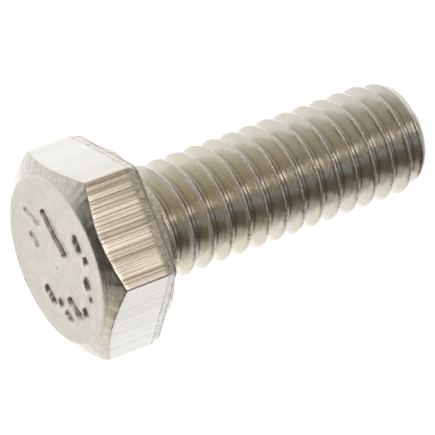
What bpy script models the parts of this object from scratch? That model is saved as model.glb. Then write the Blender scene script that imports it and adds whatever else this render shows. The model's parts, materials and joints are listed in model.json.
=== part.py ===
"""Hex bolt, 5/16-18 UNC x 7/8 in, threaded up to the head, in stainless steel.

A bolt like this is one piece: the head is forged on the blank and the thread is rolled into the
shank, so the model is one closed body with no joints.

Frame: the origin is on the bolt's axis, in the plane of the bearing face under the head. +X runs
along the axis from the head to the tip. +Z is up, and one flat of the head faces straight down.
Angles round the axis start at +Y and grow towards +Z, which makes the thread right-handed.
"""

import math

import bmesh
import bpy

MM = 0.001
INCH = 0.0254

# The mesh: columns of points run along the bolt, the same ones from the head to the tip.
COLUMNS = 48
FILLET_STEPS = 3
MERGE_DISTANCE = 0.001 * MM

# Thread
PITCH = INCH / 18
MAJOR_RADIUS = 7.72 * MM / 2
THREAD_DEPTH = 0.6134 * PITCH
MINOR_RADIUS = MAJOR_RADIUS - THREAD_DEPTH
CREST_WIDTH = PITCH / 8
ROOT_WIDTH = PITCH / 6
FLANK_WIDTH = (PITCH - CREST_WIDTH - ROOT_WIDTH) / 2
CREST_OFFSET = 0.53 * PITCH  # from the bearing face to the crest's middle at angle 0, less whole turns

# Shank
LENGTH = 21.5 * MM
NECK_RADIUS = 3.35 * MM
FILLET_RADIUS = 0.3 * MM
NECK_END = 0.6 * MM
RUNOUT_END = NECK_END + 0.8 * PITCH
LEAD_RADIUS = 3.4 * MM  # where the lead-in cone would end, at the tip
LEAD_SLOPE = math.tan(math.radians(17))
TIP_RADIUS = 3.26 * MM
TIP_SLOPE = math.tan(math.radians(45))

# Head
ACROSS_FLATS = 12.5 * MM
HEAD_HEIGHT = 5.1 * MM
TOP_CIRCLE_RADIUS = 5.56 * MM
CHAMFER_SLOPE = math.tan(math.radians(30))
WASHER_FACE_HEIGHT = 0.38 * MM
WASHER_FACE_RADIUS = 5.95 * MM
WASHER_FACE_TAPER = 0.12 * MM
TRIM_BAND = 0.74 * MM  # the band along the lower edge of the flats, where the blank was trimmed
TRIM_INSET = 0.12 * MM
TRIM_CORNER_RADIUS = 6.9 * MM  # the band's corners are worn back to this distance from the axis

STEEL_COLOUR = (0.60, 0.585, 0.55, 1.0)
STEEL_ROUGHNESS = 0.32


def clear_scene():
    for scene_object in list(bpy.data.objects):
        bpy.data.objects.remove(scene_object, do_unlink=True)


def polar(x, radius, angle):
    return (x, radius * math.cos(angle), radius * math.sin(angle))


def column_angle(column):
    return 2 * math.pi * column / COLUMNS


def hex_radius(angle, inset=0.0):
    """Distance from the axis to the hexagon's side, whose corners are at 0, 60, 120 degrees and so on."""
    sixth = math.pi / 3
    from_flat = angle % sixth - sixth / 2
    return (ACROSS_FLATS / 2 - inset) / math.cos(from_flat)


def circle_row(x, radius):
    return [polar(x, radius, column_angle(column)) for column in range(COLUMNS + 1)]


def hex_row(x, inset=0.0, corner_radius=ACROSS_FLATS):
    row = []
    for column in range(COLUMNS + 1):
        angle = column_angle(column)
        row.append(polar(x, min(hex_radius(angle, inset), corner_radius), angle))
    return row


def chamfer_row():
    """The curve on which the head's chamfer cone meets its six flats."""
    row = []
    for column in range(COLUMNS + 1):
        angle = column_angle(column)
        radius = hex_radius(angle)
        x = -HEAD_HEIGHT + (radius - TOP_CIRCLE_RADIUS) * CHAMFER_SLOPE
        row.append(polar(x, radius, angle))
    return row


def head_rows():
    """Rows from the middle of the head's top, over its sides and bearing face, to the neck."""
    hex_back = -WASHER_FACE_HEIGHT
    rows = [
        circle_row(-HEAD_HEIGHT, 0.0),
        circle_row(-HEAD_HEIGHT, TOP_CIRCLE_RADIUS),
        chamfer_row(),
        hex_row(hex_back - TRIM_BAND),
        hex_row(hex_back, TRIM_INSET, TRIM_CORNER_RADIUS),
        circle_row(hex_back, WASHER_FACE_RADIUS),
        circle_row(0.0, WASHER_FACE_RADIUS - WASHER_FACE_TAPER),
    ]
    for step in range(FILLET_STEPS + 1):
        turn = math.pi / 2 * step / FILLET_STEPS
        x = FILLET_RADIUS * (1 - math.cos(turn))
        rows.append(circle_row(x, NECK_RADIUS + FILLET_RADIUS * (1 - math.sin(turn))))
    rows.append(circle_row(NECK_END, NECK_RADIUS))
    return rows


def full_thread_radius(x, angle):
    """Radius of an endless thread: flat crest, straight flanks and a flat root."""
    along = (x - CREST_OFFSET - PITCH * angle / (2 * math.pi)) / PITCH
    from_crest = abs(along - round(along)) * PITCH
    down_flank = (from_crest - CREST_WIDTH / 2) / FLANK_WIDTH
    return MAJOR_RADIUS - THREAD_DEPTH * min(max(down_flank, 0.0), 1.0)


def thread_radius(x, angle):
    """Radius of the real thread, which rises out of the neck and is cut by the lead-in and the chamfer."""
    grown = min((x - NECK_END) / (RUNOUT_END - NECK_END), 1.0)
    radius = NECK_RADIUS + (full_thread_radius(x, angle) - NECK_RADIUS) * grown
    lead = LEAD_RADIUS + (LENGTH - x) * LEAD_SLOPE
    chamfer = TIP_RADIUS + (LENGTH - x) * TIP_SLOPE
    return min(radius, lead, chamfer)


def thread_rows():
    """Rows that follow the edges of the crests and roots along the helix, held between neck and tip.

    The last column of a row is one turn after its first, so it falls on the first column of the
    same edge one pitch further on.
    """
    crest_end = CREST_WIDTH / 2
    root_start = crest_end + FLANK_WIDTH
    edges = [-crest_end, crest_end, root_start, PITCH - root_start]
    last_turn = math.ceil(LENGTH / PITCH)
    rows = []
    for turn in range(-2, last_turn + 1):
        for edge in edges:
            row = []
            for column in range(COLUMNS + 1):
                along = turn * PITCH + edge + CREST_OFFSET + PITCH * column / COLUMNS
                x = min(max(along, NECK_END), LENGTH)
                angle = column_angle(column)
                row.append(polar(x, thread_radius(x, angle), angle))
            rows.append(row)
    return rows


def tip_rows():
    rim = []
    for column in range(COLUMNS + 1):
        angle = column_angle(column)
        rim.append(polar(LENGTH, thread_radius(LENGTH, angle), angle))
    return [rim, circle_row(LENGTH, 0.0)]


def skin(mesh, rows):
    """Join neighbouring rows with four-sided faces."""
    points = [[mesh.verts.new(point) for point in row] for row in rows]
    for near, far in zip(points, points[1:]):
        for column in range(COLUMNS):
            mesh.faces.new((near[column], far[column], far[column + 1], near[column + 1]))


def steel():
    material = bpy.data.materials.new("stainless_steel")
    material.use_nodes = True
    shader = material.node_tree.nodes["Principled BSDF"]
    shader.inputs["Base Color"].default_value = STEEL_COLOUR
    shader.inputs["Metallic"].default_value = 1.0
    shader.inputs["Roughness"].default_value = STEEL_ROUGHNESS
    return material


def make_bolt():
    mesh = bmesh.new()
    for rows in (head_rows(), thread_rows(), tip_rows()):
        skin(mesh, rows)
    bmesh.ops.remove_doubles(mesh, verts=mesh.verts, dist=MERGE_DISTANCE)
    bmesh.ops.triangulate(mesh, faces=mesh.faces)
    bmesh.ops.recalc_face_normals(mesh, faces=mesh.faces)
    data = bpy.data.meshes.new("hex_bolt")
    mesh.to_mesh(data)
    mesh.free()
    data.shade_smooth()
    data.set_sharp_from_angle(angle=math.radians(25))
    data.materials.append(steel())
    bolt = bpy.data.objects.new("hex_bolt", data)
    bpy.context.scene.collection.objects.link(bolt)


clear_scene()
make_bolt()
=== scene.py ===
"""Looks of the hex bolt: a fine mesh of the whole bolt, stainless steel materials, studio and camera.

The bolt is one piece, so one detailed mesh stands for the CAD node hex_bolt. Lengths in this script
are in millimetres until the mesh is made. The frame is the CAD's: origin on the axis in the plane of
the bearing face, +X to the tip, +Z up. Angles round the axis start at +Y and grow towards +Z.
"""
import json
import math

import bmesh
import bpy
import numpy as np
from mathutils import Matrix, Vector


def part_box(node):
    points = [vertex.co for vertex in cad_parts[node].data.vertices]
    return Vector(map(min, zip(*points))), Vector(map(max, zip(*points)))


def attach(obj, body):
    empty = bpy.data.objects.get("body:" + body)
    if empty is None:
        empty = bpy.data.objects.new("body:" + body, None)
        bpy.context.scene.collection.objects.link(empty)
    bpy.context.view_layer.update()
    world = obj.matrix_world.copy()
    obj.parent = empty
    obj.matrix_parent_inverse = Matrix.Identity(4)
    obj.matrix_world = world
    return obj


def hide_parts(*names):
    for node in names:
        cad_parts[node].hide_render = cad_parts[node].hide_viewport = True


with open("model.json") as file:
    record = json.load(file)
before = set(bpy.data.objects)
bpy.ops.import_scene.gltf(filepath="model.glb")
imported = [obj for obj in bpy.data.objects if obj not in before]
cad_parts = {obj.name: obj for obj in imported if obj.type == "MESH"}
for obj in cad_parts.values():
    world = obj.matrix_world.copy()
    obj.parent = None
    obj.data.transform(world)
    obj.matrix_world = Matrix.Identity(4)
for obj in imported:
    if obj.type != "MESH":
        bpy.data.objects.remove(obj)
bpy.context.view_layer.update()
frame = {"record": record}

MM = 0.001

# Sizes that the frame gives
LOW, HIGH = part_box("hex_bolt")
HEAD_HEIGHT = -LOW.x / MM
LENGTH = HIGH.x / MM
ACROSS_FLATS = (HIGH.z - LOW.z) / MM
MOUNTS = {mount["name"]: mount for mount in frame["record"]["mounts"]}
MAJOR_RADIUS = MOUNTS["thread"]["dims"]["r_mm"]

# Mesh density
SIXTH_COLUMNS = 60
COLUMNS = 6 * SIXTH_COLUMNS
CURVE_STEPS = 5
NECK_STEPS = 6
CREST_ROWS = 5
FLANK_ROWS = 4
ROOT_ROWS = 6
MERGE_DISTANCE = 0.0001

# Head
TOP_CIRCLE_RADIUS = 5.56
TOP_EDGE_WIDTH = 0.12
TOP_RING_STEP = 0.07
TOP_DISH = 0.08
TOP_WAVES = 0.010
TOP_RIPPLES = 0.004
CHAMFER_SLOPE = math.tan(math.radians(30))
CORNER_ROUNDING = 0.16
FLAT_CROWN = 0.06
WASHER_FACE_HEIGHT = 0.38
WASHER_FACE_RADIUS = 5.95
WASHER_FACE_FOOT = 0.06
TRIM_BAND = 0.74
TRIM_INSET = 0.12
TRIM_CORNER_RADIUS = 6.9
TRIM_GROOVE = 0.035
TRIM_GROOVE_START = 0.03
TRIM_GROOVE_END = 0.09
RAGGED_EDGE = 0.03

# Shank and thread; a runout distance is counted from the bearing face
PITCH = 25.4 / 18
THREAD_DEPTH = 0.6134 * PITCH
MINOR_RADIUS = MAJOR_RADIUS - THREAD_DEPTH
FLANK_SLOPE = math.tan(math.radians(60))
CREST_HALF_WIDTH = PITCH / 19
ROOT_ROUNDING = 0.14
CREST_OFFSET = 0.53 * PITCH
CREST_ROUNDING = 0.03
CREST_ROUGHNESS = 0.024
HELIX_WANDER = 0.012
SEAM_DEPTH = 0.02
SEAM_HALF_WIDTH = 0.04
NECK_RADIUS = 3.35
FILLET_RADIUS = 0.3
NECK_END = 0.45
RUNOUT_RADIUS = 3.62
RUNOUT_CREST_START = 0.7
RUNOUT_CREST_END = 2.4
RUNOUT_ROOT_END = 1.9
FIRST_TURN_END = 1.1
LEAD_RADIUS = 3.4
LEAD_SLOPE = math.tan(math.radians(17))
TIP_RADIUS = 3.26
TIP_SLOPE = math.tan(math.radians(45))
TIP_BLEND = 0.1

# Camera, placed by where it looks and from which side
CAMERA_TARGET = (6.72, -0.51, -0.95)
CAMERA_DISTANCE = 232.2
CAMERA_HEADING = math.radians(59.65)
CAMERA_DOWN = math.radians(24.71)
CAMERA_ROLL = math.radians(-6.96)
CAMERA_LENS = 297.9
CAMERA_SENSOR = 36.0

# Materials
FLAT_STREAK_LEAN = 0.085

# Depths below the dished top at which the painted shade on the marks' sides starts, is full and thins out
WALL_SHADE_START = 0.03
WALL_SHADE_FULL = 0.10
WALL_SHADE_END = 0.17

# Distances from the back of the hexagon to the dark line of its trimmed band, and its notches
BROKEN_LINE_START = 0.24
BROKEN_LINE_FULL = 0.18
BROKEN_LINE_FADE = 0.10
BROKEN_LINE_END = 0.08
NOTCH_REACH = 0.25

# Studio
FLOOR_GLOW = 0.85
FLOOR_HALF_SIZE = 400.0
TIP_CONTACT_BACK = 1.2
BACKDROP_RADIUS = 900


# ---------------------------------------------------------------- shapes in numbers

def column_angles():
    """Angles round the axis, close together at the head's corners and wider at the middle of its flats."""
    steps = np.linspace(-1, 1, SIXTH_COLUMNS + 1)[:-1]
    within = np.radians(30) * np.sin(np.pi / 2 * steps)
    angles = np.concatenate([np.radians(30 + 60 * flat) + within for flat in range(6)])
    return np.append(angles, 2 * np.pi)


ANGLES = column_angles()


def smooth_step(low, high, value):
    t = np.clip((value - low) / (high - low), 0, 1)
    return t * t * (3 - 2 * t)


def lattice_noise(points, seed):
    """Smooth noise from -1 to 1 at an array of points, the same on each run."""
    cell = np.floor(points).astype(np.int64)
    part = points - cell
    part = part * part * (3 - 2 * part)
    total = np.zeros(points.shape[:-1])
    for corner in np.ndindex(*(2,) * points.shape[-1]):
        place = cell + np.array(corner)
        mixed = np.full(total.shape, seed, dtype=np.int64)
        weight = np.ones(total.shape)
        for axis, prime in enumerate((73856093, 19349663, 83492791)[: points.shape[-1]]):
            mixed = (mixed ^ (place[..., axis] * prime)) * 1103515245 + 12345
            mixed = (mixed ^ (mixed >> 13)) & 0x7FFFFFFF
            weight = weight * (part[..., axis] if corner[axis] else 1 - part[..., axis])
        total = total + weight * (mixed / 0x3FFFFFFF - 1)
    return total


def polar_points(x, radius):
    """A point in millimetres at each column, from the distance along the axis and the radius."""
    x, radius, angles = np.broadcast_arrays(x, radius, ANGLES)
    return np.stack([x, radius * np.cos(angles), radius * np.sin(angles)], axis=-1)


def hex_radius(inset=0.0):
    """Distance from the axis to the hexagon's side at each column, with its corners rounded."""
    from_flat = (ANGLES % (np.pi / 3)) - np.pi / 6
    crown = FLAT_CROWN * (np.tan(from_flat) / math.tan(math.pi / 6)) ** 2
    inner = ACROSS_FLATS / 2 - inset - crown
    on_flat = inner / np.cos(from_flat)
    centre = (inner - CORNER_ROUNDING) / math.cos(math.pi / 6)
    from_corner = np.pi / 6 - np.abs(from_flat)
    on_round = centre * np.cos(from_corner) + np.sqrt(
        np.maximum(CORNER_ROUNDING**2 - (centre * np.sin(from_corner)) ** 2, 0))
    flat_end = np.arctan((inner - CORNER_ROUNDING) * math.tan(math.pi / 6) / inner)
    return np.where(np.abs(from_flat) > flat_end, on_round, on_flat)


def outline_rows(corners):
    """Rows of (x, radius) along an outline, and the surface between each row and the next.

    A corner is (x, radius, reach of its rounding, steps before it, surface before it, surface of its
    rounding).
    """
    spots = []
    for x, radius, *_ in corners:
        spots.append(np.stack(np.broadcast_arrays(x, radius, ANGLES)[:2], axis=-1))
    rows = [spots[0]]
    surfaces = []
    for index in range(1, len(corners)):
        reach, steps, side, rounding = corners[index][2:]
        here = spots[index]
        back = spots[index - 1] - here
        back = back / np.linalg.norm(back, axis=-1, keepdims=True)
        start = here + back * reach
        last = rows[-1]
        for step in range(1, steps + 1):
            rows.append(last + (start - last) * step / steps)
        surfaces += [side] * steps
        if reach:
            ahead = spots[index + 1] - here
            ahead = ahead / np.linalg.norm(ahead, axis=-1, keepdims=True)
            end = here + ahead * reach
            for step in range(1, CURVE_STEPS + 1):
                t = step / CURVE_STEPS
                rows.append(start * (1 - t) ** 2 + here * 2 * t * (1 - t) + end * t**2)
            surfaces += [rounding] * CURVE_STEPS
    return rows, surfaces


# ---------------------------------------------------------------- the head

def stroke_depth(across, up, start, end, width, depth):
    """Depth of a stamped stroke with round ends and a low lip; start and end lie in the head's top.

    The stroke's floor, its edge and its lip are placed in shares of its width.
    """
    floor_end, edge = 0.45, 1.0
    lip_start, lip_middle, lip_end = 0.8, 1.3, 2.1
    lip_height = 0.35
    start = np.array(start)
    line = np.array(end) - start
    length_squared = float(line @ line)
    along = np.clip(((across - start[0]) * line[0] + (up - start[1]) * line[1]) / length_squared, 0, 1)
    distance = np.hypot(across - start[0] - along * line[0], up - start[1] - along * line[1]) / width
    groove = 1 - smooth_step(floor_end, edge, distance)
    rise = smooth_step(lip_start, lip_middle, distance)
    fall = 1 - smooth_step(lip_middle, lip_end, distance)
    return depth * (groove - lip_height * (rise * fall))


def wander(points, seed):
    """How far the edge of a stamped mark strays at each point."""
    return 0.09 * lattice_noise(points * 2.0, seed) + 0.03 * lattice_noise(points * 6, seed + 2)


def stamped_depth(across, up):
    """Plain worn strokes and dimples in the head's top, which spell nothing.

    A mark is its start, its end, its width and its depth.
    """
    marks = [
        ((0.9, 3.0), (-1.2, 0.8), 0.30, 0.20),
        ((3.3, 2.5), (1.9, 1.9), 0.26, 0.08),
        ((2.9, 0.9), (2.3, 0.3), 0.26, 0.07),
        ((-2.9, 2.4), (-3.2, 1.8), 0.42, 0.19),
        ((-3.9, 1.3), (-3.9, 1.2), 0.36, 0.16),
        ((-3.7, -0.3), (-3.8, -0.6), 0.40, 0.16),
        ((-3.9, -1.4), (-3.9, -1.5), 0.30, 0.12),
        ((1.7, -2.6), (1.0, -3.2), 0.32, 0.17),
        ((0.2, -2.9), (0.1, -3.1), 0.34, 0.12),
        ((-0.5, -3.6), (-0.9, -3.8), 0.34, 0.15),
        ((-1.2, -2.4), (-2.2, -3.2), 0.34, 0.19),
        ((-2.9, -2.6), (-3.0, -2.8), 0.34, 0.15),
    ]
    points = np.stack([across, up], -1)
    across = across + wander(points, 21)
    up = up + wander(points, 22)
    depth = np.zeros(across.shape)
    for start, end, width, deep in marks:
        stroke = stroke_depth(across, up, start, end, width, deep)
        depth = np.where(np.abs(stroke) > np.abs(depth), stroke, depth)
    return depth


def head_top_rows():
    """Rows of points from the middle of the head's top almost to its rim."""
    edge = TOP_CIRCLE_RADIUS - TOP_EDGE_WIDTH
    dish_side = 0.72 * edge
    rows = []
    for radius in np.linspace(0, edge, round(edge / TOP_RING_STEP) + 1):
        points = polar_points(-HEAD_HEIGHT, radius)
        across, up = points[:, 1], points[:, 2]
        inside = 1 - smooth_step(dish_side, edge, radius)
        waves = TOP_WAVES * lattice_noise(points[:, 1:] * 0.9, 5)
        ripples = TOP_RIPPLES * lattice_noise(points[:, 1:] * 3.1, 6)
        dish = (TOP_DISH + waves + ripples) * inside
        points[:, 0] += np.maximum(dish + stamped_depth(across, up), 0)
        rows.append(points)
    return rows


def ragged(scale, seed):
    """Noise from -1 to 1 round the head, with scale cells per millimetre."""
    return lattice_noise(polar_points(0.0, ACROSS_FLATS / 2) * scale, seed)


def head_side_rows():
    """Rows over the chamfer, the flats, the trimmed band and the washer face, and their surfaces."""
    top_edge = TOP_CIRCLE_RADIUS - TOP_EDGE_WIDTH
    flat = hex_radius()
    uneven = RAGGED_EDGE * (0.4 * ragged(1.7, 31) + 0.8 * ragged(4.3, 32))
    chamfer_end = -HEAD_HEIGHT + (flat - TOP_CIRCLE_RADIUS) * CHAMFER_SLOPE + uneven
    hex_back = -WASHER_FACE_HEIGHT
    band_start = hex_back - TRIM_BAND + 0.5 * uneven
    torn = RAGGED_EDGE * np.abs(ragged(2.9, 33) + 0.7 * ragged(6.1, 34))
    back = np.minimum(hex_radius(TRIM_INSET), TRIM_CORNER_RADIUS) - torn
    corners = [
        (-HEAD_HEIGHT, top_edge, 0, 0, "top", "top"),
        (-HEAD_HEIGHT, TOP_CIRCLE_RADIUS, 0.10, 1, "top", "top"),
        (chamfer_end, flat, 0.05, 6, "chamfer", "chamfer"),
        (band_start, flat, 0.015, 12, "flats", "trim"),
        (band_start + TRIM_GROOVE_START, flat - TRIM_GROOVE, 0.01, 1, "trim", "trim"),
        (band_start + TRIM_GROOVE_END, flat - TRIM_GROOVE / 2, 0.02, 1, "trim", "trim"),
        (hex_back + torn, back, 0.06, 8, "trim", "crest"),
        (hex_back, WASHER_FACE_RADIUS + WASHER_FACE_FOOT, 0.05, 2, "trim", "trim"),
        (0.0, WASHER_FACE_RADIUS, 0.06, 3, "trim", "chamfer"),
        (0.0, NECK_RADIUS + FILLET_RADIUS, 0, 8, "chamfer", "chamfer"),
    ]
    rows, surfaces = outline_rows(corners)
    return [polar_points(row[:, 0], row[:, 1]) for row in rows], surfaces


# ---------------------------------------------------------------- the shank

def soft_minimum(first, second, blend):
    """The smaller of two lengths, with the corner between them rounded over about the blend length."""
    near = np.clip(0.5 + (second - first) / (2 * blend), 0, 1)
    return second + (first - second) * near - blend * near * (1 - near)


def thread_profile(from_crest):
    """Depth below the crest of a rolled thread, from the distance to the crest's middle along the axis."""
    flank = (from_crest - CREST_HALF_WIDTH) * FLANK_SLOPE
    corner = np.clip((from_crest - CREST_HALF_WIDTH + CREST_ROUNDING) / (2 * CREST_ROUNDING), 0, 1)
    rounded = CREST_ROUNDING * FLANK_SLOPE * corner**2
    depth = np.where(from_crest < CREST_HALF_WIDTH + CREST_ROUNDING, rounded, flank)
    return soft_minimum(depth, THREAD_DEPTH, ROOT_ROUNDING)


def thread_radius(x):
    """Radius of the shank's surface at each column, from the neck's runout to the tip's chamfer."""
    spots = polar_points(x, MAJOR_RADIUS)
    along = (x - CREST_OFFSET - PITCH * ANGLES / (2 * np.pi)) / PITCH
    along = along + HELIX_WANDER * lattice_noise(spots * 1.3, 41)
    from_crest = np.abs(along - np.round(along)) * PITCH
    on_crest = 1 - smooth_step(CREST_HALF_WIDTH, CREST_HALF_WIDTH + 2 * CREST_ROUNDING, from_crest)
    seam = SEAM_DEPTH * (1 - smooth_step(0, SEAM_HALF_WIDTH, from_crest))
    worn = CREST_ROUGHNESS * on_crest * np.abs(lattice_noise(spots * 5.5, 42))
    radius = MAJOR_RADIUS - thread_profile(from_crest) - seam - worn
    crest_grown = smooth_step(RUNOUT_CREST_START, RUNOUT_CREST_END, x)
    highest = RUNOUT_RADIUS + (MAJOR_RADIUS - RUNOUT_RADIUS) * crest_grown
    root_sunk = smooth_step(NECK_END, RUNOUT_ROOT_END, x)
    lowest = NECK_RADIUS + (MINOR_RADIUS - NECK_RADIUS) * root_sunk
    radius = np.clip(radius, lowest, highest - worn)
    started = smooth_step(NECK_END, FIRST_TURN_END, x)
    radius = NECK_RADIUS + (radius - NECK_RADIUS) * started
    lead = LEAD_RADIUS + (LENGTH - x) * LEAD_SLOPE
    chamfer = TIP_RADIUS + (LENGTH - x) * TIP_SLOPE
    return np.minimum(radius, soft_minimum(lead, chamfer, TIP_BLEND))


def neck_rows():
    rows = []
    for step in range(NECK_STEPS + 1):
        turn = math.pi / 2 * step / NECK_STEPS
        x = FILLET_RADIUS * (1 - math.cos(turn))
        radius = NECK_RADIUS + FILLET_RADIUS * (1 - math.sin(turn))
        rows.append(polar_points(x, radius))
    rows.append(polar_points(NECK_END, NECK_RADIUS))
    return rows


def pitch_places():
    """Distances from the crest's middle at which rows follow the thread, over one pitch."""
    crest_end = CREST_HALF_WIDTH + CREST_ROUNDING
    crest = np.linspace(0, crest_end, CREST_ROWS + 1)[:-1]
    root_start = CREST_HALF_WIDTH + (THREAD_DEPTH - ROOT_ROUNDING) / FLANK_SLOPE
    flank = np.linspace(crest_end, root_start, FLANK_ROWS + 1)[:-1]
    root = np.linspace(root_start, PITCH / 2, ROOT_ROWS + 1)
    half = np.concatenate([crest, flank, root])
    return np.concatenate([half, PITCH - half[-2:0:-1]])


def thread_rows():
    """Rows along the helix, held between the neck and the tip, and the surface after each row.

    The last column of a row lies one turn after its first, on the same place one pitch further on.
    """
    rows = []
    surfaces = []
    places = pitch_places()
    crest_end = CREST_HALF_WIDTH + CREST_ROUNDING
    tolerance = 1e-6
    first_turn = -2
    last_turn = math.ceil(LENGTH / PITCH)
    for turn in range(first_turn, last_turn + 1):
        for place in places:
            x = turn * PITCH + place + CREST_OFFSET + PITCH * ANGLES / (2 * np.pi)
            x = np.clip(x, NECK_END, LENGTH)
            rows.append(polar_points(x, thread_radius(x)))
            on_crest = place < crest_end - tolerance or place > PITCH - crest_end - tolerance
            surfaces.append("crest" if on_crest else "flank")
    return rows, surfaces


def tip_rows():
    rim = thread_radius(LENGTH)
    return [polar_points(LENGTH, rim * share) for share in (1.0, 0.75, 0.5, 0.25, 0.0)]


# ---------------------------------------------------------------- the mesh

def skin(mesh, rows, surfaces):
    """Join neighbouring rows with four-sided faces; surfaces names what lies after each row."""
    slots = list(SURFACES)
    points = [[mesh.verts.new(point) for point in row * MM] for row in rows]
    for near, far, surface in zip(points, points[1:], surfaces):
        for column in range(COLUMNS):
            face = mesh.faces.new((near[column], far[column], far[column + 1], near[column + 1]))
            face.material_index = slots.index(surface)
            face.smooth = True


def make_bolt():
    """The whole bolt as one closed mesh, with a material for each kind of surface."""
    top, neck, tip = head_top_rows(), neck_rows(), tip_rows()
    mesh = bmesh.new()
    skin(mesh, top, ["top"] * len(top))
    skin(mesh, *head_side_rows())
    skin(mesh, neck, ["flank"] * len(neck))
    skin(mesh, *thread_rows())
    skin(mesh, tip, ["chamfer"] * len(tip))
    bmesh.ops.remove_doubles(mesh, verts=mesh.verts, dist=MERGE_DISTANCE * MM)
    bmesh.ops.recalc_face_normals(mesh, faces=mesh.faces)
    data = bpy.data.meshes.new("bolt_body")
    mesh.to_mesh(data)
    mesh.free()
    for make_steel in SURFACES.values():
        data.materials.append(make_steel())
    bolt = bpy.data.objects.new("bolt_body", data)
    bpy.context.scene.collection.objects.link(bolt)
    return bolt


# ---------------------------------------------------------------- materials

def add_node(tree, kind, inputs=None, **settings):
    """A shader node with its settings; an input is a value, or an output socket to link from."""
    node = tree.nodes.new(kind)
    for name, value in settings.items():
        setattr(node, name, value)
    for name, value in (inputs or {}).items():
        if isinstance(value, bpy.types.NodeSocket):
            tree.links.new(value, node.inputs[name])
        else:
            node.inputs[name].default_value = value
    return node


def maths(tree, operation, *values):
    node = add_node(tree, "ShaderNodeMath", operation=operation)
    for index, value in enumerate(values):
        if isinstance(value, bpy.types.NodeSocket):
            tree.links.new(value, node.inputs[index])
        else:
            node.inputs[index].default_value = value
    return node.outputs[0]


def map_range(tree, value, low, high, new_low, new_high):
    node = add_node(tree, "ShaderNodeMapRange", {"Value": value, "From Min": low, "From Max": high,
                                                "To Min": new_low, "To Max": new_high})
    return node.outputs[0]


def steel_start(name):
    """A bare metal material, its node tree, its shader, and the place of each point in metres."""
    material = bpy.data.materials.new(name)
    material.use_nodes = True
    tree = material.node_tree
    shader = tree.nodes["Principled BSDF"]
    shader.inputs["Metallic"].default_value = 1.0
    place = add_node(tree, "ShaderNodeTexCoord").outputs["Object"]
    return material, tree, shader, place


def noise_at(tree, vector, detail=3.0, roughness=0.6):
    noise = add_node(tree, "ShaderNodeTexNoise", {"Vector": vector, "Scale": 1.0,
                                                 "Detail": detail, "Roughness": roughness})
    return noise.outputs["Fac"]


def stretched_noise(tree, place, scale, detail=3.0, roughness=0.6):
    """Noise whose scale is given for each axis, in cells per millimetre."""
    mapping = add_node(tree, "ShaderNodeMapping", {"Vector": place,
                                                  "Scale": [cells / MM for cells in scale]})
    return noise_at(tree, mapping.outputs[0], detail, roughness)


def axis_distance(tree, place):
    split = add_node(tree, "ShaderNodeSeparateXYZ", {"Vector": place})
    across, up = split.outputs["Y"], split.outputs["Z"]
    return maths(tree, "SQRT", maths(tree, "ADD", maths(tree, "MULTIPLY", across, across),
                                     maths(tree, "MULTIPLY", up, up)))


def ring_noise(tree, place, fine, coarse, detail=3.0):
    """Noise in rings round the bolt's axis, in cells per millimetre: fine across them, coarse along."""
    radius = axis_distance(tree, place)
    split = add_node(tree, "ShaderNodeSeparateXYZ", {"Vector": place})
    across, up = split.outputs["Y"], split.outputs["Z"]
    vector = add_node(tree, "ShaderNodeCombineXYZ", {"X": maths(tree, "MULTIPLY", radius, fine / MM),
                                                    "Y": maths(tree, "MULTIPLY", across, coarse / MM),
                                                    "Z": maths(tree, "MULTIPLY", up, coarse / MM)})
    return noise_at(tree, vector.outputs[0], detail)


def mix_colours(tree, factor, first, second):
    node = add_node(tree, "ShaderNodeMix", data_type="RGBA")
    colours = [socket for socket in node.inputs if socket.type == "RGBA"]
    for socket, value in zip([node.inputs[0], *colours], (factor, first, second)):
        if isinstance(value, bpy.types.NodeSocket):
            tree.links.new(value, socket)
        else:
            socket.default_value = value
    return next(socket for socket in node.outputs if socket.type == "RGBA")


def bump(tree, shader, height, depth_mm):
    node = add_node(tree, "ShaderNodeBump", {"Height": height, "Strength": 1.0, "Distance": depth_mm * MM})
    tree.links.new(node.outputs[0], shader.inputs["Normal"])


def vary_roughness(tree, shader, noise, smooth, rough):
    tree.links.new(map_range(tree, noise, 0.3, 0.7, smooth, rough), shader.inputs["Roughness"])


def vary_colour(tree, shader, noise, first, second):
    factor = map_range(tree, noise, 0.35, 0.65, 0, 1)
    tree.links.new(mix_colours(tree, factor, (*first, 1), (*second, 1)), shader.inputs["Base Color"])


def head_top_steel():
    """Forged and worn: turned rings, a mottled tone, dark specks and painted shade on the marks' sides."""
    material, tree, shader, place = steel_start("head_top_steel")
    grain = stretched_noise(tree, place, (5, 5, 5))
    rings = ring_noise(tree, place, 5, 0.2)
    height = maths(tree, "ADD", grain, rings)
    bump(tree, shader, height, 0.012)
    vary_roughness(tree, shader, grain, 0.34, 0.44)
    blotches = stretched_noise(tree, place, (1.1, 1.1, 1.1), detail=5.0)
    mottle = map_range(tree, blotches, 0.4, 0.62, 0, 1)
    unmarked_tone = mix_colours(tree, mottle, (0.79, 0.78, 0.75, 1), (0.72, 0.705, 0.665, 1))
    along = add_node(tree, "ShaderNodeSeparateXYZ", {"Vector": place}).outputs["X"]
    field = -HEAD_HEIGHT + TOP_DISH
    start, full, end = [(field + depth) * MM for depth in (WALL_SHADE_START, WALL_SHADE_FULL, WALL_SHADE_END)]
    # Painted shade: the stamped marks are darkened on their sides between two depths, and the floors of
    # deep marks stay lighter.
    wall_shade = maths(tree, "MULTIPLY", map_range(tree, along, start, full, 0, 1),
                  map_range(tree, along, full, end, 1, 0.85))
    pits = map_range(tree, stretched_noise(tree, place, (2.6, 2.6, 2.6), detail=1.0), 0.73, 0.76, 0, 1)
    pit_dirt_and_wall_shade = maths(tree, "MAXIMUM", wall_shade, pits)
    # One dark colour serves both the painted shade in the marks and the random dark specks.
    tree.links.new(mix_colours(tree, pit_dirt_and_wall_shade, unmarked_tone, (0.44, 0.42, 0.38, 1)), shader.inputs["Base Color"])
    return material


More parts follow.
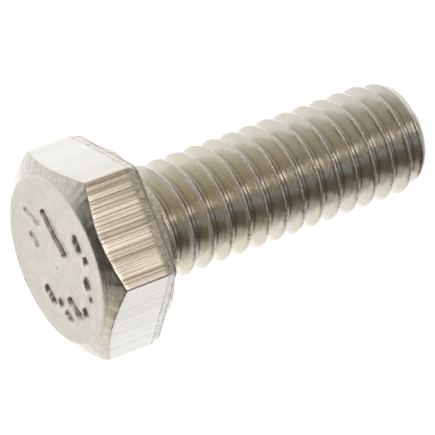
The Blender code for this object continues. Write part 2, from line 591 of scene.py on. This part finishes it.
def chamfer_steel():
    """Turned, with fine rings, for the chamfer, the bearing face and the tip's end."""
    material, tree, shader, place = steel_start("chamfer_steel")
    rings = ring_noise(tree, place, 6, 0.7, detail=4.0)
    bump(tree, shader, rings, 0.012)
    vary_roughness(tree, shader, rings, 0.2, 0.34)
    mottle = stretched_noise(tree, place, (3, 3, 3), detail=5.0)
    vary_colour(tree, shader, mottle, (0.55, 0.54, 0.515), (0.68, 0.672, 0.65))
    return material


def lean_across(tree, shader, amount, steepness):
    """Turn the surface's normal across the bolt's length by an amount from -1 to 1."""
    tangent = add_node(tree, "ShaderNodeTangent", direction_type="RADIAL", axis="X").outputs[0]
    lean = add_node(tree, "ShaderNodeVectorMath", {"Scale": maths(tree, "MULTIPLY", amount, steepness)},
                    operation="SCALE")
    tree.links.new(tangent, lean.inputs[0])
    normal = add_node(tree, "ShaderNodeNewGeometry").outputs["Normal"]
    turned = add_node(tree, "ShaderNodeVectorMath", {0: lean.outputs[0], 1: normal}, operation="ADD")
    unit = add_node(tree, "ShaderNodeVectorMath", {0: turned.outputs[0]}, operation="NORMALIZE")
    tree.links.new(unit.outputs[0], shader.inputs["Normal"])


def flat_steel():
    """Drawn along the bolt: streaks that each lean their own way, so that they catch different light."""
    material, tree, shader, place = steel_start("flat_steel")
    broad = stretched_noise(tree, place, (0.05, 1.4, 1.4), detail=1.0)
    fine = stretched_noise(tree, place, (0.03, 8, 8), detail=4.0, roughness=0.75)
    lean = maths(tree, "ADD", map_range(tree, broad, 0.36, 0.64, -0.4, 0.4),
                 map_range(tree, fine, 0.38, 0.62, -0.65, 0.65))
    height = add_node(tree, "ShaderNodeSeparateXYZ", {"Vector": place}).outputs["Z"]
    strength = map_range(tree, height, -1.0 * MM, 1.0 * MM, 0.35, 1.0)
    lean_across(tree, shader, maths(tree, "MULTIPLY", lean, strength), FLAT_STREAK_LEAN)
    vary_roughness(tree, shader, fine, 0.2, 0.34)
    vary_colour(tree, shader, fine, (0.58, 0.576, 0.56), (0.72, 0.716, 0.697))
    return material


def trim_steel():
    """Sheared and rough, with a notched dark line where it broke off."""
    material, tree, shader, place = steel_start("trim_steel")
    grain = stretched_noise(tree, place, (1.4, 5, 5), detail=5.0, roughness=0.7)
    bump(tree, shader, grain, 0.06)
    vary_roughness(tree, shader, grain, 0.22, 0.36)
    worn = map_range(tree, grain, 0.38, 0.62, 0, 1)
    tone = mix_colours(tree, worn, (0.43, 0.415, 0.385, 1), (0.76, 0.75, 0.73, 1))
    along = add_node(tree, "ShaderNodeSeparateXYZ", {"Vector": place}).outputs["X"]
    notches = maths(tree, "MULTIPLY_ADD", stretched_noise(tree, place, (1, 5, 5)),
                    2 * NOTCH_REACH * MM, -NOTCH_REACH * MM)
    notched = maths(tree, "ADD", along, notches)
    band_end = -WASHER_FACE_HEIGHT
    rise = map_range(tree, notched, (band_end - BROKEN_LINE_START) * MM,
                     (band_end - BROKEN_LINE_FULL) * MM, 0, 1)
    fall = map_range(tree, along, (band_end - BROKEN_LINE_FADE) * MM,
                     (band_end - BROKEN_LINE_END) * MM, 1, 0)
    line = maths(tree, "MULTIPLY", rise, fall)
    tree.links.new(mix_colours(tree, line, tone, (0.32, 0.305, 0.28, 1)), shader.inputs["Base Color"])
    return material


def crest_steel():
    """Scuffed, for the crests, where the rolled thread closes on itself, and the hexagon's back edge."""
    material, tree, shader, place = steel_start("crest_steel")
    grain = stretched_noise(tree, place, (8, 6, 6), detail=3.0)
    bump(tree, shader, grain, 0.045)
    vary_roughness(tree, shader, grain, 0.16, 0.28)
    vary_colour(tree, shader, grain, (0.62, 0.60, 0.57), (0.80, 0.785, 0.76))
    return material


def flank_steel():
    """Rolled smooth: faint lines along the helix, a warmer tint by the head and painted shade in the
    roots.
    """
    material, tree, shader, place = steel_start("flank_steel")
    lines = stretched_noise(tree, place, (7, 0.9, 0.9))
    bump(tree, shader, lines, 0.010)
    vary_roughness(tree, shader, lines, 0.22, 0.31)
    along = add_node(tree, "ShaderNodeSeparateXYZ", {"Vector": place}).outputs["X"]
    to_tip = map_range(tree, along, 3 * MM, 18 * MM, 0, 1)
    tint = mix_colours(tree, to_tip, (0.70, 0.682, 0.61, 1), (0.665, 0.668, 0.645, 1))
    # Painted shade: the colour grows darker towards the thread's roots, down in the groove.
    root = map_range(tree, axis_distance(tree, place),
                     (MINOR_RADIUS + 0.03) * MM, (MINOR_RADIUS + 0.2) * MM, 1, 0)
    tree.links.new(mix_colours(tree, root, tint, (0.50, 0.49, 0.46, 1)), shader.inputs["Base Color"])
    return material


SURFACES = {
    "top": head_top_steel,
    "chamfer": chamfer_steel,
    "flats": flat_steel,
    "trim": trim_steel,
    "crest": crest_steel,
    "flank": flank_steel,
}


# ---------------------------------------------------------------- studio

def make_floor():
    """A pale sheet that the head's lower flat and the tip's lowest thread both touch."""
    head_contact = Vector((-WASHER_FACE_HEIGHT - TRIM_BAND, 0, -ACROSS_FLATS / 2))
    tip_contact = Vector((LENGTH - TIP_CONTACT_BACK, 0, -MAJOR_RADIUS))
    tilt = math.atan2(tip_contact.z - head_contact.z, tip_contact.x - head_contact.x)
    half = FLOOR_HALF_SIZE
    mesh = bmesh.new()
    for x, y in ((-half, -half), (half, -half), (half, half), (-half, half)):
        mesh.verts.new((x * MM, y * MM, 0))
    mesh.faces.new(mesh.verts)
    data = bpy.data.meshes.new("floor")
    mesh.to_mesh(data)
    mesh.free()
    floor = bpy.data.objects.new("floor", data)
    bpy.context.scene.collection.objects.link(floor)
    floor.matrix_world = Matrix.Translation(head_contact * MM) @ Matrix.Rotation(-tilt, 4, "Y")
    material = bpy.data.materials.new("pale_floor")
    material.use_nodes = True
    shader = material.node_tree.nodes["Principled BSDF"]
    shader.inputs["Base Color"].default_value = (0.7, 0.7, 0.7, 1)
    shader.inputs["Roughness"].default_value = 0.9
    shader.inputs["Emission Color"].default_value = (1, 1, 1, 1)
    shader.inputs["Emission Strength"].default_value = FLOOR_GLOW
    data.materials.append(material)
    floor.visible_glossy = False
    floor.visible_shadow = False


def ramp(tree, value, stops):
    """A colour ramp; stops are (angle in degrees from -180 to 180, colour)."""
    turn = maths(tree, "MULTIPLY_ADD", value, 1 / (2 * math.pi), 0.5)
    node = add_node(tree, "ShaderNodeValToRGB", {"Fac": turn})
    elements = node.color_ramp.elements
    node.color_ramp.interpolation = "EASE"
    while len(elements) > 1:
        elements.remove(elements[-1])
    for index, (angle, colour) in enumerate(stops):
        position = angle / 360 + 0.5
        element = elements[0] if index == 0 else elements.new(position)
        element.position = position
        element.color = (*colour, 1)
    return node.outputs["Color"]


# The light's colour round the bolt, on its right and left sides and at its right end
RIGHT_STRIPS = [
    (-180, (0.32, 0.27, 0.195)), (-165, (0.26, 0.22, 0.165)), (-150, (0.16, 0.12, 0.08)),
    (-128, (0.14, 0.105, 0.07)), (-116, (0.50, 0.44, 0.35)), (-103, (1.04, 1.00, 0.92)),
    (-90, (1.28, 1.26, 1.24)), (-78, (1.60, 1.61, 1.64)), (-50, (1.93, 1.95, 2.01)),
    (-10, (1.78, 1.78, 1.80)), (28, (1.31, 1.30, 1.28)), (48, (1.13, 1.09, 0.99)),
    (65, (0.91, 0.85, 0.73)), (88, (0.73, 0.65, 0.51)), (110, (0.63, 0.54, 0.395)),
    (128, (0.51, 0.415, 0.28)), (145, (0.28, 0.21, 0.115)), (160, (0.27, 0.205, 0.12)),
    (180, (0.32, 0.27, 0.195)),
]
LEFT_STRIPS = [
    (-180, (0.16, 0.15, 0.13)), (-130, (0.10, 0.08, 0.06)), (-93, (0.11, 0.08, 0.05)),
    (-84, (0.50, 0.41, 0.30)), (-76, (1.12, 1.00, 0.84)), (-60, (1.10, 1.05, 0.96)),
    (-30, (0.92, 0.89, 0.83)), (-5, (1.05, 1.03, 0.98)), (28, (0.97, 0.94, 0.87)),
    (60, (0.78, 0.74, 0.66)), (110, (0.44, 0.41, 0.35)), (180, (0.16, 0.15, 0.13)),
]
RIGHT_END_STRIPS = [
    (-180, (0.70, 0.68, 0.65)), (-150, (0.45, 0.41, 0.37)), (-120, (0.40, 0.36, 0.31)),
    (-95, (0.90, 0.88, 0.84)), (0, (0.98, 0.96, 0.92)), (105, (1.05, 1.02, 0.97)),
    (135, (0.20, 0.165, 0.12)), (162, (0.20, 0.165, 0.12)), (180, (0.70, 0.68, 0.65)),
]
LEFT_END = (0.045, 0.038, 0.032)

# Where one light gives way to the next, by how far a direction points along the bolt
SIDES_MEET = (-0.25, 0.25)
LEFT_END_EDGE = (-0.85, -0.96)
RIGHT_END_EDGE = (0.60, 0.80)

# Two cards; place and size are along the bolt and round it in degrees
WARM_CARD = (5.0, 4.5, 3.95)
WARM_CARD_PLACE = (0.29, 156)
WARM_CARD_SIZE = (0.15, 11)
COOL_CARD = (1.0, 1.36, 1.72)
COOL_CARD_PLACE = (0.35, -175)
COOL_CARD_SIZE = (0.09, 12)


def card(tree, along, turn, place, size):
    """How much of a soft-edged card is seen in a direction, from 0 to 1."""
    from_middle = maths(tree, "SUBTRACT", along, place[0])
    off_along = maths(tree, "DIVIDE", from_middle, size[0])
    turned = maths(tree, "SUBTRACT", turn, math.radians(place[1]))
    off_turn = maths(tree, "DIVIDE", turned, math.radians(size[1]))
    off = maths(tree, "SQRT", maths(tree, "ADD", maths(tree, "MULTIPLY", off_along, off_along),
                                    maths(tree, "MULTIPLY", off_turn, off_turn)))
    return map_range(tree, off, 0.6, 1.0, 1, 0)


def make_studio():
    """Light from all round: white behind and under the bolt, dim in front of it, and a dark left end."""
    world = bpy.data.worlds.new("studio")
    bpy.context.scene.world = world
    world.use_nodes = True
    tree = world.node_tree
    direction = add_node(tree, "ShaderNodeTexCoord").outputs["Generated"]
    split = add_node(tree, "ShaderNodeSeparateXYZ", {"Vector": direction})
    along = split.outputs["X"]
    turn = maths(tree, "ARCTAN2", split.outputs["Z"], split.outputs["Y"])
    side = map_range(tree, along, *SIDES_MEET, 0, 1)
    light = mix_colours(tree, side, ramp(tree, turn, LEFT_STRIPS), ramp(tree, turn, RIGHT_STRIPS))
    warm = card(tree, along, turn, WARM_CARD_PLACE, WARM_CARD_SIZE)
    light = mix_colours(tree, warm, light, (*WARM_CARD, 1))
    cool = card(tree, along, turn, COOL_CARD_PLACE, COOL_CARD_SIZE)
    light = mix_colours(tree, cool, light, (*COOL_CARD, 1))
    left_end = map_range(tree, along, *LEFT_END_EDGE, 0, 1)
    light = mix_colours(tree, left_end, light, (*LEFT_END, 1))
    right_end = map_range(tree, along, *RIGHT_END_EDGE, 0, 1)
    light = mix_colours(tree, right_end, light, ramp(tree, turn, RIGHT_END_STRIPS))
    background = tree.nodes["Background"]
    tree.links.new(light, background.inputs["Color"])
    background.inputs["Strength"].default_value = 1.0


def make_backdrop():
    """A white dome beyond the floor, which only the camera sees."""
    mesh = bmesh.new()
    bmesh.ops.create_uvsphere(mesh, u_segments=48, v_segments=24, radius=BACKDROP_RADIUS * MM)
    data = bpy.data.meshes.new("backdrop")
    mesh.to_mesh(data)
    mesh.free()
    dome = bpy.data.objects.new("backdrop", data)
    bpy.context.scene.collection.objects.link(dome)
    material = bpy.data.materials.new("white_backdrop")
    material.use_nodes = True
    shader = material.node_tree.nodes["Principled BSDF"]
    shader.inputs["Base Color"].default_value = (0, 0, 0, 1)
    shader.inputs["Emission Color"].default_value = (1, 1, 1, 1)
    shader.inputs["Emission Strength"].default_value = 1.0
    data.materials.append(material)
    dome.visible_diffuse = False
    dome.visible_glossy = False
    dome.visible_shadow = False
    dome.visible_transmission = False


def make_camera():
    forward = Vector((math.cos(CAMERA_DOWN) * math.cos(CAMERA_HEADING),
                      math.cos(CAMERA_DOWN) * math.sin(CAMERA_HEADING), -math.sin(CAMERA_DOWN)))
    level = forward.cross(Vector((0, 0, 1))).normalized()
    above = level.cross(forward)
    right = level * math.cos(CAMERA_ROLL) + above * math.sin(CAMERA_ROLL)
    up = right.cross(forward)
    data = bpy.data.cameras.new("camera")
    data.lens = CAMERA_LENS
    data.sensor_width = CAMERA_SENSOR
    data.clip_start = 0.01
    camera = bpy.data.objects.new("camera", data)
    bpy.context.scene.collection.objects.link(camera)
    turned = Matrix((right, up, -forward)).transposed().to_4x4()
    place = (Vector(CAMERA_TARGET) - forward * CAMERA_DISTANCE) * MM
    camera.matrix_world = Matrix.Translation(place) @ turned
    bpy.context.scene.camera = camera


make_camera()
make_studio()
make_floor()
make_backdrop()
bpy.context.scene.view_settings.view_transform = "Standard"
bolt = make_bolt()
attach(bolt, "root")
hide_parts("hex_bolt")
